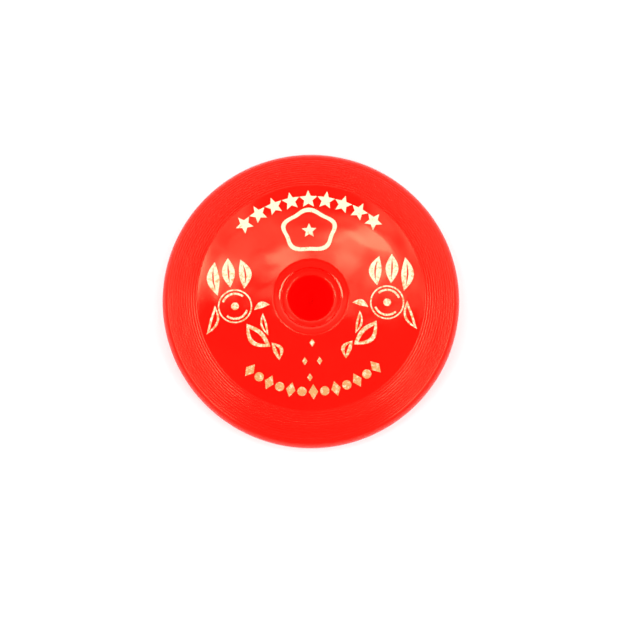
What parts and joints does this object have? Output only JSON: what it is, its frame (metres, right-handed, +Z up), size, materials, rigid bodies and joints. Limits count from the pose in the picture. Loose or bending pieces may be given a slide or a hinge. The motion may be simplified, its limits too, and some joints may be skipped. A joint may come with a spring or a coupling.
{
  "type": "flying disc",
  "caption": "Round flying disc with a down-turned rim, a ridged shoulder, a flat plate and a stepped cup at its centre, with a gold film print.",
  "frame": {"origin": "on the disc's axis, in the plane that the rim's foot rests on", "axes": "+Z up along the axis, out of the printed plate; +Y towards the arc of stars, +X to the right of the print as it is read"},
  "size_m": [0.235, 0.235, 0.0281],
  "materials": {
    "moulded_plastic": "glossy on the plate and in the cup, satin on the ridged shoulder and the underside",
    "gold_film": "thin metallised film, slightly wavy, worn at its edges"
  },
  "bodies": {
    "root": {"disc_moulding": "moulded_plastic", "star_1": "gold_film", "star_2": "gold_film", "star_3": "gold_film", "star_4": "gold_film", "star_5": "gold_film", "star_6": "gold_film", "star_7": "gold_film", "star_8": "gold_film", "star_9": "gold_film", "emblem_outline": "gold_film", "emblem_star": "gold_film", "left_ring": "gold_film", "left_broken_ring": "gold_film", "left_dot": "gold_film", "left_leaf_1": "gold_film", "left_leaf_2": "gold_film", "left_leaf_3": "gold_film", "left_leaf_4": "gold_film", "left_leaf_5": "gold_film", "left_leaf_6": "gold_film", "left_leaf_7": "gold_film", "left_leaf_8": "gold_film", "right_ring": "gold_film", "right_broken_ring": "gold_film", "right_dot": "gold_film", "right_leaf_1": "gold_film", "right_leaf_2": "gold_film", "right_leaf_3": "gold_film", "right_leaf_4": "gold_film", "right_leaf_5": "gold_film", "right_leaf_6": "gold_film", "right_leaf_7": "gold_film", "right_leaf_8": "gold_film", "pip_1": "gold_film", "pip_2": "gold_film", "pip_3": "gold_film", "pip_4": "gold_film", "mark_1": "gold_film", "mark_2": "gold_film", "mark_3": "gold_film", "mark_4": "gold_film", "mark_5": "gold_film", "mark_6": "gold_film", "mark_7": "gold_film", "mark_8": "gold_film", "mark_9": "gold_film", "mark_10": "gold_film", "mark_11": "gold_film", "mark_12": "gold_film", "mark_13": "gold_film"}
  },
  "joints": []
}
